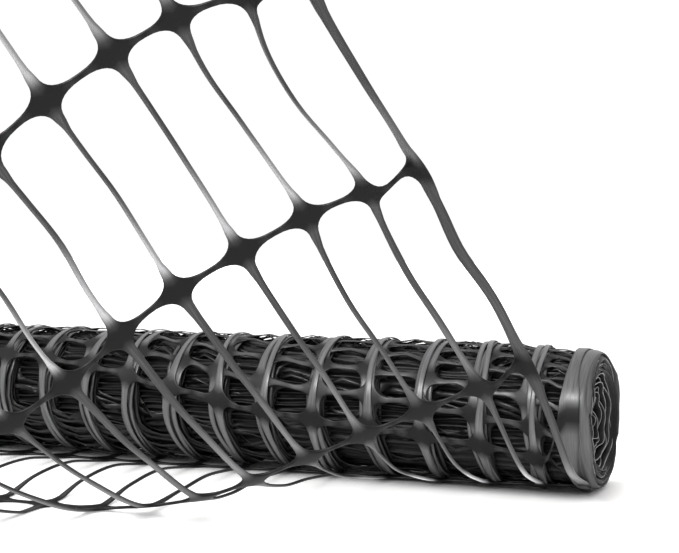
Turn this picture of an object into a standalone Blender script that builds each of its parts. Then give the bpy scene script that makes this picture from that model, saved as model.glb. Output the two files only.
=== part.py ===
"""Roll of plastic safety fencing with its loose end pulled out and lifted at a corner.

Metres, +Z up. The roll lies along X on the floor, its flat spot centred on the origin.
The loose end leaves the roll towards -Y and rises at the +X end.
"""

import math

import bmesh
import bpy
import numpy as np
from mathutils import Vector
from mathutils.geometry import delaunay_2d_cdt

# The net: long oblong openings between strands that run along the fence and bars across it.
CELL_WIDTH = 0.042
EDGE_CELL_WIDTH = 0.033
CELLS_ACROSS = 24
ROW_LENGTH = 0.1575
ROWS = 4
STRAND_WIDTH = 0.0034
BAR_WIDTH = 0.0042
SELVEDGE_WIDTH = 0.007
SHEET_THICKNESS = 0.002

# An opening: sides that close in a little towards its ends, and a rounded cap at each end.
# SIDE_POINTS: share of the opening's length, and how far the side stands in there.
CAP_LENGTH = 0.017
CAP_POWER = 2.7
CAP_POINTS = 5
CAP_TAPER = 0.0016
SIDE_POINTS = ((0.19, 0.00096), (0.5, 0.0), (0.81, 0.00096))

# The roll: windings of the same net, drawn apart a little at the edges.
ROLL_RADIUS = 0.055
ROLL_SINK = 0.0009
ROLL_EDGE_CELL = 0.039
ROLL_EDGE_BAND = 0.010
ROLL_LENGTH = (CELLS_ACROSS - 2) * CELL_WIDTH + 2 * ROLL_EDGE_CELL + ROLL_EDGE_BAND
HOOP_WIDTH = 0.009
RING_SIDES = 28

# Relief of the roll: windows and bars sink below the hoops, over this share of a cell's gap.
WINDOW_SLOPE = 0.14
WINDOW_DEPTH = 0.0032
BAR_DEPTH = 0.0008
DEPTH_CHANGE = 0.2
DEPTH_TURN_CELL = 2.4
DEPTH_TURN_SIDE = 1.7

# Out of round, a row for each wave: height, waves round the roll, turn, turn for each metre along.
WAVES = ((0.0004, 3, 1.0, 0.0), (0.0003, 5, 0.0, 11.0))

# The wound ends: a ridge for each turn shown, given as a share of the radius.
TURN_DEPTH = 0.003
TURN_LEAST = 0.25
TURNS_SHOWN = (0.88, 0.74, 0.6, 0.46, 0.32, 0.17)

# Where the loose end starts and has its first bar, from under the roll's axis towards -Y.
LOOSE_START = 0.0205
FIRST_ROW = 0.042
LOOSE_END_INSET = 0.0113
LOOSE_SIDE_X = ROLL_LENGTH / 2 - LOOSE_END_INSET

# The folds of the loose end, a row for each section across the fence, in millimetres.
# row: where the section is, in rows of the net from the first one on the floor
# aside: how far the floor part has crept towards +X; edge_aside: the same at the lifted edge
# rise: height above the floor, at each strand of FOLD_STRANDS, counted from the +X edge
# draw: how far the section is drawn back from its flat place, at the same strands
FOLD_STRANDS = (0, 2, 4, 6, 8, 12, 24)
FOLD_COLUMNS = ("row", "aside", "edge_aside", "rise", "draw")
MILLIMETRE = 0.001
FOLDS = (
    (-0.12, 1, 0, (0, 0, 0, 0, 0, 0, 0), (0, 0, 0, 0, 0, 0, 0)),
    (-0.06, 1, 0, (4, 2, 2, 1, 0, 0, 0), (0, 1, 2, 1, 0, 0, 0)),
    (0.0, 2, 0, (14, 6, 6, 4, 0, 0, 0), (0, 4, 6, 4, 0, 0, 0)),
    (0.33, 5, 0, (30, 22, 14, 6, 8, 8, 0), (2, 6, 6, 6, 2, 0, 0)),
    (0.67, 8, 0, (66, 44, 26, 6, 6, 8, 0), (16, 12, 8, 6, 4, 0, 0)),
    (1.0, 12, 0, (110, 80, 46, 14, 0, 0, 0), (42, 26, 12, 6, 4, 2, 0)),
    (1.5, 11, 5, (178, 144, 102, 56, 24, 2, 0), (86, 66, 42, 20, 8, 2, 0)),
    (2.0, 11, 9, (236, 210, 162, 108, 66, 20, 0), (120, 108, 80, 42, 20, 6, 0)),
    (3.0, 18, 2, (326, 310, 266, 216, 174, 98, 0), (150, 146, 122, 90, 64, 26, 0)),
    (4.0, 24, 0, (436, 402, 364, 324, 282, 196, 0), (196, 176, 158, 138, 114, 62, 0)),
)

# edge_aside counts in full up to the first distance from the +X edge, and not past the second.
EDGE_FADE = (2.5 * CELL_WIDTH, 5.0 * CELL_WIDTH)
ACROSS_SAMPLES = 300


def clear_scene():
    for item in list(bpy.data.objects):
        bpy.data.objects.remove(item, do_unlink=True)


def make_material(name, colour, roughness):
    material = bpy.data.materials.new(name)
    material.use_nodes = True
    shader = material.node_tree.nodes["Principled BSDF"]
    shader.inputs["Base Color"].default_value = (*colour, 1.0)
    shader.inputs["Roughness"].default_value = roughness
    shader.inputs["Metallic"].default_value = 0.0
    return material


def make_object(name, mesh, material, collection):
    item = bpy.data.objects.new(name, mesh)
    mesh.materials.append(material)
    collection.objects.link(item)
    return item


def strand_places():
    """Distance of each strand from the +X selvedge."""
    places = [0.0, EDGE_CELL_WIDTH]
    for _ in range(CELLS_ACROSS - 2):
        places.append(places[-1] + CELL_WIDTH)
    places.append(places[-1] + EDGE_CELL_WIDTH)
    return np.array(places)


def smooth_through(knots, values, at):
    """A smooth curve through the knots: cubic pieces whose slopes are averaged at each knot."""
    knots = np.asarray(knots, float)
    values = np.asarray(values, float)
    at = np.clip(np.asarray(at, float), knots[0], knots[-1])
    column = (-1,) + (1,) * (values.ndim - 1)
    gap = np.diff(knots)
    rise = np.diff(values, axis=0) / gap.reshape(column)
    share = (gap[:-1] / (gap[:-1] + gap[1:])).reshape(column)
    slope = np.concatenate([rise[:1], (1 - share) * rise[:-1] + share * rise[1:], rise[-1:]])
    piece = np.clip(np.searchsorted(knots, at, side="right") - 1, 0, len(gap) - 1)
    width = gap[piece].reshape(column)
    u = ((at - knots[piece]) / gap[piece]).reshape(column)
    start = (2 * u**3 - 3 * u**2 + 1) * values[piece] + (u**3 - 2 * u**2 + u) * width * slope[piece]
    end = (3 * u**2 - 2 * u**3) * values[piece + 1] + (u**3 - u**2) * width * slope[piece + 1]
    return start + end


class LooseSurface:
    """The middle surface of the loose end: distances across and along the net give a place."""

    def __init__(self):
        strands = strand_places()
        self.across = np.linspace(0.0, strands[-1], ACROSS_SAMPLES)
        knots = strands[list(FOLD_STRANDS)]
        column = dict(zip(FOLD_COLUMNS, zip(*FOLDS)))
        self.rows = np.array(column["row"])
        self.aside = np.array(column["aside"]) * MILLIMETRE
        self.edge_aside = np.array(column["edge_aside"]) * MILLIMETRE
        rise = np.array(column["rise"]).T * MILLIMETRE
        draw = np.array(column["draw"]).T * MILLIMETRE
        self.rise = smooth_through(knots, rise, self.across).T
        self.draw = smooth_through(knots, draw, self.across).T
        self.sections = {}

    def section(self, along):
        """X, Y and Z across the fence at one distance along it. The run in X keeps the true width."""
        key = round(along, 7)
        if key not in self.sections:
            row = [(along - FIRST_ROW) / ROW_LENGTH]
            height = np.maximum(smooth_through(self.rows, self.rise, row)[0], 0.0)
            forward = -along + smooth_through(self.rows, self.draw, row)[0]
            step = np.diff(self.across) ** 2 - np.diff(height) ** 2 - np.diff(forward) ** 2
            run = np.concatenate([[0.0], np.cumsum(np.sqrt(np.maximum(step, 0.0)))])
            fade = (self.across - EDGE_FADE[0]) / (EDGE_FADE[1] - EDGE_FADE[0])
            fade = np.clip(fade, 0.0, 1.0)
            lifted = 1.0 - fade * fade * (3.0 - 2.0 * fade)
            side = run[-1] - run - self.across[-1] + smooth_through(self.rows, self.aside, row)[0]
            side = side + lifted * smooth_through(self.rows, self.edge_aside, row)[0]
            self.sections[key] = (LOOSE_SIDE_X + side, forward, height + SHEET_THICKNESS / 2)
        return self.sections[key]

    def place(self, across, along):
        over = min(max(across, 0.0), self.across[-1])
        x, y, z = (float(np.interp(over, self.across, values)) for values in self.section(along))
        return Vector((x - (across - over), y, z))


def cell_sides(strands, cell):
    """The two sides of a cell's openings: the edges of the strands beside it."""
    left_width = SELVEDGE_WIDTH if cell == 0 else STRAND_WIDTH
    right_width = SELVEDGE_WIDTH if cell == CELLS_ACROSS - 1 else STRAND_WIDTH
    return strands[cell] + left_width / 2, strands[cell + 1] - right_width / 2


def cap_outline(half_width):
    """One rounded cap over its base line, as (across, along) points, starting at +half_width."""
    points = []
    for step in range(CAP_POINTS):
        angle = math.pi * step / (CAP_POINTS - 1)
        across = half_width * math.copysign(abs(math.cos(angle)) ** (2 / CAP_POWER), math.cos(angle))
        along = CAP_LENGTH * math.sin(angle) ** (2 / CAP_POWER)
        points.append((across, along))
    return points


def opening_outline(left, right, low, high):
    """Outline of one opening between two strands and two bars, turning one way round."""
    middle = (left + right) / 2
    cap = cap_outline((right - left) / 2 - CAP_TAPER)
    side = [(share * (high - low), stands_in) for share, stands_in in SIDE_POINTS]
    outline = [(right - stands_in, low + along) for along, stands_in in side]
    outline += [(middle + x, high - CAP_LENGTH + y) for x, y in cap]
    outline += [(left + stands_in, high - along) for along, stands_in in side]
    outline += [(middle - x, low + CAP_LENGTH - y) for x, y in cap]
    return outline


def loose_outlines(strands):
    """The flat net's border and its openings, as (across, along) points."""
    low_edge = -SELVEDGE_WIDTH / 2
    high_edge = strands[-1] + SELVEDGE_WIDTH / 2
    end = FIRST_ROW + ROWS * ROW_LENGTH + BAR_WIDTH / 2
    openings = []
    for cell in range(CELLS_ACROSS):
        for row in range(ROWS):
            low = FIRST_ROW + row * ROW_LENGTH + BAR_WIDTH / 2
            high = low + ROW_LENGTH - BAR_WIDTH
            openings.append(opening_outline(*cell_sides(strands, cell), low, high))
    middles = (strands[:-1] + strands[1:]) / 2
    side = [along for across, along in openings[0] if across < middles[0]]
    side = sorted({round(value + row * ROW_LENGTH, 6) for value in side for row in range(ROWS)})
    side = [(LOOSE_START + FIRST_ROW) / 2, FIRST_ROW, *side]
    far_end = [value for pair in zip(strands[:-1], middles) for value in pair]
    border = [(low_edge, value) for value in [LOOSE_START, *side, end]]
    border += [(value, end) for value in [*far_end, strands[-1]]]
    border += [(high_edge, value) for value in [end, *reversed(side), LOOSE_START]]
    border += root_notches(strands)
    return border, openings


def root_notches(strands):
    """The start of the net, where its strands come out from under the roll side by side."""
    points = []
    base = FIRST_ROW - BAR_WIDTH / 2 - CAP_LENGTH
    for cell in reversed(range(CELLS_ACROSS)):
        left, right = cell_sides(strands, cell)
        cap = [((left + right) / 2 + x, base + y) for x, y in cap_outline((right - left) / 2)]
        points += [(right, LOOSE_START), *cap, (left, LOOSE_START)]
    return points


def triangulate(border, openings):
    """Triangles of the flat net, with its openings left out."""
    points = [Vector(point) for point in border]
    edges = [(i, (i + 1) % len(border)) for i in range(len(border))]
    for outline in openings:
        first = len(points)
        points += [Vector(point) for point in outline]
        edges += [(first + i, first + (i + 1) % len(outline)) for i in range(len(outline))]
    found = delaunay_2d_cdt(points, edges, [], 0, 1e-6)
    places, triangles = found[0], found[2]
    loops = [border, *openings]
    boxes = [(np.array(loop).min(axis=0), np.array(loop).max(axis=0), loop) for loop in loops]
    kept = []
    for triangle in triangles:
        middle = sum((places[i] for i in triangle), Vector((0.0, 0.0))) / 3
        inside = [
            crosses(loop, middle)
            for low, high, loop in boxes
            if low[0] <= middle.x <= high[0] and low[1] <= middle.y <= high[1]
        ]
        if len([hit for hit in inside if hit]) == 1 and crosses(border, middle):
            kept.append(triangle)
    return places, kept


def crosses(loop, point):
    """Whether the point lies inside the loop."""
    inside = False
    for (x1, y1), (x2, y2) in zip(loop, loop[1:] + loop[:1]):
        if (y1 > point.y) != (y2 > point.y):
            if point.x < x1 + (point.y - y1) * (x2 - x1) / (y2 - y1):
                inside = not inside
    return inside


def make_loose_end(material, collection):
    """The pulled-out net: flat pattern, laid on its folds, thickened with Solidify."""
    surface = LooseSurface()
    places, triangles = triangulate(*loose_outlines(strand_places()))
    used = sorted({index for triangle in triangles for index in triangle})
    order = {index: number for number, index in enumerate(used)}
    points = [surface.place(places[index].x, places[index].y) for index in used]
    mesh = bpy.data.meshes.new("loose_end")
    mesh.from_pydata(points, [], [[order[index] for index in triangle] for triangle in triangles])
    shape = bmesh.new()
    shape.from_mesh(mesh)
    bmesh.ops.recalc_face_normals(shape, faces=shape.faces)
    if sum(face.normal.z * face.calc_area() for face in shape.faces) < 0:
        bmesh.ops.reverse_faces(shape, faces=shape.faces)
    shape.to_mesh(mesh)
    shape.free()
    item = make_object("loose_end", mesh, material, collection)
    thicken = item.modifiers.new("thickness", "SOLIDIFY")
    thicken.thickness = SHEET_THICKNESS
    thicken.offset = 0.0
    return item


def roll_stations():
    """Places along the roll and how deep its windows are there, from -X to +X."""
    half = ROLL_LENGTH / 2
    hoops = [-half + ROLL_EDGE_BAND / 2]
    hoops.append(hoops[0] + ROLL_EDGE_CELL)
    for _ in range(CELLS_ACROSS - 2):
        hoops.append(hoops[-1] + CELL_WIDTH)
    hoops.append(hoops[-1] + ROLL_EDGE_CELL)
    stations = []
    for number, middle in enumerate(hoops):
        width = HOOP_WIDTH if 0 < number < CELLS_ACROSS else ROLL_EDGE_BAND
        stations.append((middle - width / 2, 0.0, number))
        stations.append((middle + width / 2, 0.0, number))
        if number < CELLS_ACROSS:
            slope = WINDOW_SLOPE * (hoops[number + 1] - middle - HOOP_WIDTH)
            stations.append((middle + HOOP_WIDTH / 2 + slope, 1.0, number))
            stations.append((hoops[number + 1] - HOOP_WIDTH / 2 - slope, 1.0, number))
    return stations


def roll_ring(x, window, cell, shrink=1.0, inset=None):
    """One ring of the roll: slightly uneven, with windows and bars sunk in it, flat below."""
    points = []
    for side in range(RING_SIDES):
        angle = -math.pi / 2 + (side + 0.5) * 2 * math.pi / RING_SIDES
        uneven = sum(
            height * math.sin(count * angle + turn + turn_along * x)
            for height, count, turn, turn_along in WAVES
        )
        on_floor = side in (0, RING_SIDES - 1)
        sunk = 0.0 if on_floor else window * (WINDOW_DEPTH if side % 2 else BAR_DEPTH)
        sunk *= 1.0 + DEPTH_CHANGE * math.sin(DEPTH_TURN_CELL * cell + DEPTH_TURN_SIDE * side)
        radius = shrink * (ROLL_RADIUS + uneven - sunk)
        depth = 0.0 if inset is None else inset(angle)
        y = radius * math.cos(angle)
        z = ROLL_RADIUS - ROLL_SINK + radius * math.sin(angle)
        points.append((x + depth, y, max(z, 0.0)))
    return points


def turn_inset(number, sign):
    """How far the wound edge stands in at one turn: ridges and grooves that spiral inwards."""

    def inset(angle):
        ridge = (1.0 - math.cos(math.pi * number + angle)) / 2
        return -sign * TURN_DEPTH * (TURN_LEAST + (1.0 - TURN_LEAST) * ridge)

    return inset


def make_roll(material, collection):
    """The wound net as one solid: hoops, sunk windows between bars, and spiral ends."""
    half = ROLL_LENGTH / 2
    rings = []
    for number in reversed(range(len(TURNS_SHOWN))):
        rings.append(roll_ring(-half, 0.0, 0, TURNS_SHOWN[number], turn_inset(number, -1)))
    rings += [roll_ring(x, window, cell) for x, window, cell in roll_stations()]
    for number, shrink in enumerate(TURNS_SHOWN):
        rings.append(roll_ring(half, 0.0, 0, shrink, turn_inset(number, 1)))
    points = [point for ring in rings for point in ring]
    faces = []
    for ring in range(len(rings) - 1):
        for side in range(RING_SIDES):
            a = ring * RING_SIDES + side
            b = ring * RING_SIDES + (side + 1) % RING_SIDES
            faces.append((a, b, b + RING_SIDES, a + RING_SIDES))
    for ring, turn in ((0, 1), (len(rings) - 1, -1)):
        middle = Vector((0.0, 0.0, 0.0))
        for point in rings[ring]:
            middle += Vector(point) / RING_SIDES
        points.append(middle)
        for side in range(RING_SIDES):
            a = ring * RING_SIDES + side
            b = ring * RING_SIDES + (side + 1) % RING_SIDES
            faces.append((len(points) - 1, b, a)[::turn])
    mesh = bpy.data.meshes.new("roll")
    mesh.from_pydata(points, [], faces)
    shape = bmesh.new()
    shape.from_mesh(mesh)
    bmesh.ops.recalc_face_normals(shape, faces=shape.faces)
    shape.to_mesh(mesh)
    shape.free()
    return make_object("roll", mesh, material, collection)


def main():
    clear_scene()
    collection = bpy.data.collections.new("safety_fence_roll")
    bpy.context.scene.collection.children.link(collection)
    wound = make_material("wound black polyethylene net", (0.022, 0.022, 0.023), 0.42)
    flat = make_material("black polyethylene net", (0.030, 0.030, 0.031), 0.38)
    make_roll(wound, collection)
    make_loose_end(flat, collection)


main()
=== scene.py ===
import math

import bpy
import numpy as np
from mathutils import Euler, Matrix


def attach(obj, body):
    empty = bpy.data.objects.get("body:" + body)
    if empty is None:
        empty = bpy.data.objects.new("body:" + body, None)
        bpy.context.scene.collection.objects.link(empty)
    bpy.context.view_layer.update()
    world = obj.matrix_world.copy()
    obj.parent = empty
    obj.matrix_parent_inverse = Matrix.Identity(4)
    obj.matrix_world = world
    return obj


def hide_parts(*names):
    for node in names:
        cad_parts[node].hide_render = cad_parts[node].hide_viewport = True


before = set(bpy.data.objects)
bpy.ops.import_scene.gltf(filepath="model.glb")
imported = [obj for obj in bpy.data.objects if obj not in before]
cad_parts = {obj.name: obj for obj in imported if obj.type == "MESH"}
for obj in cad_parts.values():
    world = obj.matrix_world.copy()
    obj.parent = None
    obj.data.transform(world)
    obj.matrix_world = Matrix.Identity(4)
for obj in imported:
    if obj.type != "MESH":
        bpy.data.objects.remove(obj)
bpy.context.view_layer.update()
print("frame loaded")

millimetre = 0.001
circle = 2 * math.pi

# The net as it is made, in metres: drawn strands along the fence, bars across it.
net = {
    "strandGap": 0.042,
    "edgeGap": 0.033,
    "cellsAcross": 24,
    "barGap": 0.1575,
    "firstBar": 0.042,  # from under the roll's axis, where along is 0, to the first bar on the floor
    "looseRows": 4,
    "strandThickness": 0.0020,
    "nodeThickness": 0.0026,
    "edgeRound": 0.0007,
    "edgeShade": 0.0012,  # edges this wide are drawn a little darker
    "nodeRise": (0.15, 0.8),  # round an opening: up to the node, as shares of the way
    "nodeFall": (0.2, 0.75),  # and on along the bar
    "stationPower": 0.9,  # stations lie a little closer together near the node
    "flarePower": 4,
    "selvedgeBulge": 0.0004,  # at a node, outwards
    "endBulge": 0.0006,
}
# Widths of strands and selvedges, between nodes and at one, and of bars. A cap ends each opening, and is
# squarer with a higher power.
looseShape = {
    "strandWidths": (0.0047, 0.0058),
    "selvedgeWidths": (0.0068, 0.0084),
    "barWidth": 0.0034,
    "capLength": 0.0140,
    "capPower": 2.6,
}
# In the roll the net is pulled narrower, and in the deeper turns its bars lie nearly on edge.
outerShape = {
    "strandWidths": (0.0042, 0.0062),
    "selvedgeWidths": (0.0080, 0.0150),
    "barWidth": 0.0036,
    "capLength": 0.0150,
    "capPower": 3.0,
}
woundShape = {
    "strandWidths": (0.0030, 0.0044),
    "selvedgeWidths": (0.0066, 0.0100),
    "barWidth": 0.0026,
    "capLength": 0.0125,
    "capPower": 2.7,
}

# Folds of the loose end. A row for each section: rows of the net from the first bar, creep towards
# +X in mm (all of it, and more at the lifted edge), then rise and drawing back in mm at some strands.
foldStrands = (0, 2, 4, 6, 8, 12, 24)
foldColumns = ("row", "aside", "edgeAside", "rise", "draw")
foldTable = (
    (-0.2, 1, 0, (0, 0, 0, 0, 0, 0, 0), (0, 0, 0, 0, 0, 0, 0)),
    (-0.06, 1, 0, (3, 2, 1, 0, 0, 0, 0), (15, 15, 15, 12, 8, 4, 0)),
    (0.0, 2, 0, (6, 3, 1, 1, 0, 0, 0), (20, 20, 20, 16, 10, 5, 0)),
    (0.33, 5, 0, (30, 22, 14, 6, 8, 8, 0), (2, 6, 6, 6, 2, 0, 0)),
    (0.67, 8, 0, (66, 44, 26, 6, 6, 8, 0), (16, 12, 8, 6, 4, 0, 0)),
    (1.0, 12, 0, (110, 80, 46, 14, 0, 0, 0), (42, 26, 12, 6, 4, 2, 0)),
    (1.5, 11, 5, (178, 144, 102, 56, 24, 2, 0), (86, 66, 42, 20, 8, 2, 0)),
    (2.0, 11, 10, (233, 206, 162, 107, 62, 18, 0), (120, 108, 80, 42, 20, 6, 0)),
    (3.0, 22, 2, (326, 310, 266, 209, 169, 96, 0), (150, 146, 122, 90, 64, 26, 0)),
    (4.0, 28, 0, (436, 402, 364, 324, 282, 196, 0), (196, 176, 158, 138, 114, 62, 0)),
)
# How far the lifted strands stray sideways from their even places: row, then mm to -X at some strands.
swayStrands = (0, 1, 2, 3, 4, 5, 6, 8)
swayTable = (
    (1.0, (0, 0, 0, 0, 0, 0, 0, 0)),
    (1.3, (1, 5, 4, 2, 2, 2, 0, 0)),
    (1.6, (6, 8, 7, 4, 3, 3, 1, 0)),
    (1.85, (1, 4, 3, 3, 2, 1, 0, 0)),
    (2.0, (-2, -1, -2, 1, 1, 0, 0, 0)),
    (2.25, (-3, 2, -2, -2, -2, -2, -1, 0)),
    (2.5, (0, 9, 1, -2, -3, -5, -4, 0)),
    (2.75, (4, 11, 5, -1, -1, -3, -4, 0)),
    (3.0, (7, 6, 4, 0, 0, -1, -1, 0)),
    (3.5, (10, 9, 6, 2, -2, -3, -2, 0)),
    (4.0, (7, 8, 4, 1, 0, 0, 0, 0)),
)
looseValues = {
    "sideX": 0.4947,  # the right selvedge of the loose end
    "liftAboveFloor": 0.0010,
    "liftedFade": (0.105, 0.21),  # across the net, where the lifted edge gives way to the flat part
    # strands between two bars, from the lifted selvedge on: degrees turned, and how much wider
    "twist": (42, 48, 54, 60, 66, 68),
    "lowTwist": (42, 42, 52, 46, 34, 18, 22, 36, 46),  # between the first two bars off the floor
    "lowWider": (0.08, 0.15, 0.0, 0.08, 0.15, 0.08, 0.08, 0.12, 0.35),
    "floorNarrower": 0.36,  # how much narrower the strands are that lie on the floor
    "floorStrands": (3.5, 6.0),  # strands over which it sets in
    "twistSpread": 8,
    "selvedgeTwist": 0.7,
    "twistHeight": (0.008, 0.06),  # on the floor the strands lie flat
    "twistRise": (0.05, 0.17),  # as shares of the way from one bar to the next
    "twistFall": (0.84, 0.955),
    "widerRise": (0.12, 0.32),
    "widerFall": (0.68, 0.88),
    "strandReach": (0.003, 0.006),  # how far from its line net still belongs to a strand
    "buckle": 0.0055,  # how far the bars of the narrow edge cells bend out of the net
    "buckleReach": (0.06, 0.14),
    "buckleFrom": 0.5,  # rows from the first bar
    "leastHeight": 0.0001,
    "floorPressed": 0.5,  # share of its thickness left where it would sink into the floor
    "gridPast": (0.012, 0.004, 0.1),  # how far the grid runs past selvedges, seam and, in rows, the end
    "stepAlong": 0.002,
    "stepAcross": 0.003,
    "swaySteps": (91, 60),
}

# The roll: the same net, wound from under the axis round the back, over the top and down again.
# Pairs of values, also of its hoops and bars, say where something begins and where it is full.
rollValues = {
    "axisHeight": 0.0541,
    "radius": 0.0544,
    "swell": 0.034,  # how much thicker the roll is between its ends
    "swellFade": 0.07,
    "turnDepth": 0.00044,
    "tuck": 0.0014,  # the net starts this far inside its circle
    "tuckAngle": 0.4,  # and comes out to it over this angle
    "holdAngle": 1.2,  # from here on the winding holds the net in its hoops
    "underOuter": 0.0005,
    "underTurns": (0.9, 1.2),
    "floorPitch": 0.8,  # turns pressed on the floor, as a share of their depth
    "thickness": 0.30,  # of the loose net's, since the turns are pulled tight
    "edgeCell": 0.039,  # the edge cells are drawn wider than in the loose end
    "wideRows": 6,
    "detailRows": 8,
    "innerRows": 62,
    # amount, waves in a turn, phase, and its change in a metre
    "unevenness": ((0.0004, 3, 1.0, 0), (0.0003, 5, 0.0, 11)),
    "endLean": 0.0032,  # the ends of the roll stand out further at the back
    "endTilt": 0.0015,  # and further at the bottom than at the top
    "rimTaper": 0.07,  # the outermost millimetres of each end turn inwards
    "rimReach": (0.002, 0.016),
}
# Its hoops, where strands of all turns lie over each other.
hoopValues = {
    "shift": 0.0030,
    "waves": ((1.2, 0.83), (0.7, 1.57), (0.3, 3.1)),  # of that shift, and waves in a turn
    "edgeShift": 0.0042,
    "edgeInwards": 2.3,  # of that shift: the outermost selvedge lies inside the deeper ones
    "deeperInwards": (0.27, 0.3, 1.9),  # even part, amount of the wave, and waves in a turn
    "deeperFrom": (5.3, 6.5),
    "sweep": 0.007,  # below, the hoops lean towards +X, but not near the ends
    "sweepFade": 0.1,
}
# Its bars, which the hoops hold at both ends.
barValues = {
    "skewRise": (0.02, 0.16),  # metres wound, for the skew in the table below
    "edgeSkew": 0.042,  # how much lower the last node at the lifted end sits
    "edgeSkewEnd": (0.29, 0.38),
    "edgeSkewReach": 0.8,
    "reach": (0.10, 0.5),
    "sagFirst": 0.0003,
    "sagPerTurn": 0.00010,
    "sagMost": 0.0022,
    "sagSpread": 1.6,
    "sagRound": (0.55, -0.1, -0.35),  # the same all round, with the cosine, and with its square
    "pressedOut": 0.85,  # some deeper bars bear on the outermost ones, at the top all of them
    "pressedChance": (0.25, 0.85),
    "pressedTop": (-0.80, -0.95),
    "pressedTurns": (7.0, 10.0),
    "ripple": 0.0005,
    "rippleWaves": 1.5,
    "rippleFirst": 0.4,
    "loose": 0.0022,  # the outermost bars stand off a little
    "looseTurns": (0.75, 1.3),
    "looseInwards": 0.1,
    "wave": 0.0026,
    "innerWave": 0.5,  # waviness of the bars away from the edge cells
}
# Metres across the net, then mm that its hoops stand off there from the loose strands.
hoopDrift = ((0.0, 0), (0.12, 0), (0.20, -6), (0.40, -6), (0.52, -5), (0.99, -3))
# Metres across the net, then mm that its bars run askew there.
barSkew = ((0.0, 14), (0.075, 1), (0.16, -9), (0.25, -17), (0.33, -31), (0.42, -47), (0.52, -54), (0.99, -45))

# where the strands are across the net, from the lifted selvedge on
strandPlaces = net["edgeGap"] + net["strandGap"] * np.arange(net["cellsAcross"] - 1)
strandPlaces = np.concatenate([[0.0], strandPlaces, [strandPlaces[-1] + net["edgeGap"]]])
netWidth = strandPlaces[-1]
lastStrand = net["cellsAcross"]


def smoothThrough(knots, values, at):
    # cubic pieces through the knots, their slopes averaged at each knot
    knots, values = np.asarray(knots, float), np.asarray(values, float)
    at = np.clip(np.asarray(at, float), knots[0], knots[-1])
    column = (-1,) + (1,) * (values.ndim - 1)
    gap = np.diff(knots)
    rise = np.diff(values, axis=0) / gap.reshape(column)
    share = (gap[:-1] / (gap[:-1] + gap[1:])).reshape(column)
    slope = np.concatenate([rise[:1], (1 - share) * rise[:-1] + share * rise[1:], rise[-1:]])
    piece = np.clip(np.searchsorted(knots, at, side="right") - 1, 0, len(gap) - 1)
    width = gap[piece].reshape(column)
    u = ((at - knots[piece]) / gap[piece]).reshape(column)
    start = (2 * u**3 - 3 * u**2 + 1) * values[piece] + (u**3 - 2 * u**2 + u) * width * slope[piece]
    end = (3 * u**2 - 2 * u**3) * values[piece + 1] + (u**3 - u**2) * width * slope[piece + 1]
    return start + end


def smoothStep(low, high, value):
    u = np.clip((value - low) / (high - low), 0.0, 1.0)
    return u * u * (3.0 - 2.0 * u)


def riseAndFall(rise, fall, value):
    return smoothStep(*rise, value) * (1 - smoothStep(*fall, value))


def chance(*numbers):
    # a fixed value from 0 to 1 for each set of whole numbers
    total = sum(np.asarray(number, float) * step for number, step in zip(numbers, (12.9898, 78.233, 37.719)))
    return np.mod(np.sin(total + 0.5) * 43758.5453, 1.0)


def phase(*numbers):
    # the same as an angle, all round
    return 6.3 * chance(*numbers)


def fromTable(table, across):
    places, shifts = zip(*table)
    return smoothThrough(places, np.array(shifts) * millimetre, across)


def byStrand(values, strand):
    # strands past the last value have that one
    return np.interp(strand, range(len(values)), values)


def fromGrid(grid, row, column):
    # between the four nearest values of a grid, up to just inside its last ones
    row = np.clip(row, 0, grid.shape[0] - 1.001)
    column = np.clip(column, 0, grid.shape[1] - 1.001)
    low, left = row.astype(int), column.astype(int)
    up, right = row - low, column - left
    if grid.ndim > 2:
        up, right = up[:, None], right[:, None]
    near = grid[low, left] * (1 - right) + grid[low, left + 1] * right
    far = grid[low + 1, left] * (1 - right) + grid[low + 1, left + 1] * right
    return near * (1 - up) + far * up


def netRow(along):
    # how many rows of the net lie between the first bar and here
    return (along - net["firstBar"]) / net["barGap"]


pastSide, pastSeam, pastEnd = looseValues["gridPast"]
gridAcross = np.arange(-pastSide, netWidth + pastSide, looseValues["stepAcross"])
gridEnd = net["firstBar"] + (net["looseRows"] + pastEnd) * net["barGap"]
gridAlong = np.arange(-pastSeam, gridEnd, looseValues["stepAlong"])


def looseGrid():
    # the middle surface of the loose end, as a fine grid of places and normals
    loose = looseValues
    column = {name: np.array(values) for name, values in zip(foldColumns, zip(*foldTable))}
    inside = np.clip(gridAcross, 0.0, netWidth)

    def folded(name):
        values = column[name] * millimetre
        if values.ndim > 1:
            values = smoothThrough(strandPlaces[list(foldStrands)], values.T, inside).T
        return smoothThrough(column["row"], values, netRow(gridAlong))

    height = np.maximum(folded("rise"), 0.0)
    forward = folded("draw") - gridAlong[:, None]
    # the net doesn't stretch, so where it rises from strand to strand it covers less width
    step = np.diff(inside) ** 2 - np.diff(height, axis=1) ** 2 - np.diff(forward, axis=1) ** 2
    run = np.cumsum(np.sqrt(np.maximum(step, 0.0)), axis=1)
    run = np.concatenate([np.zeros((len(gridAlong), 1)), run], axis=1)
    side = run[:, -1:] - run - netWidth + (inside - gridAcross)
    side = side + folded("aside")[:, None]
    side = side + (1.0 - smoothStep(*loose["liftedFade"], gridAcross)) * folded("edgeAside")[:, None]
    place = np.stack([loose["sideX"] + side, forward, height + loose["liftAboveFloor"]], axis=2)
    normal = np.cross(np.gradient(place, axis=1), np.gradient(place, axis=0))
    return place, normal / np.linalg.norm(normal, axis=2, keepdims=True)


gridPlaces, gridNormals = looseGrid()
swayRows = np.linspace(swayTable[0][0], swayTable[-1][0], looseValues["swaySteps"][0])
swayAcross = np.linspace(0.0, strandPlaces[swayStrands[-1]], looseValues["swaySteps"][1])


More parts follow.
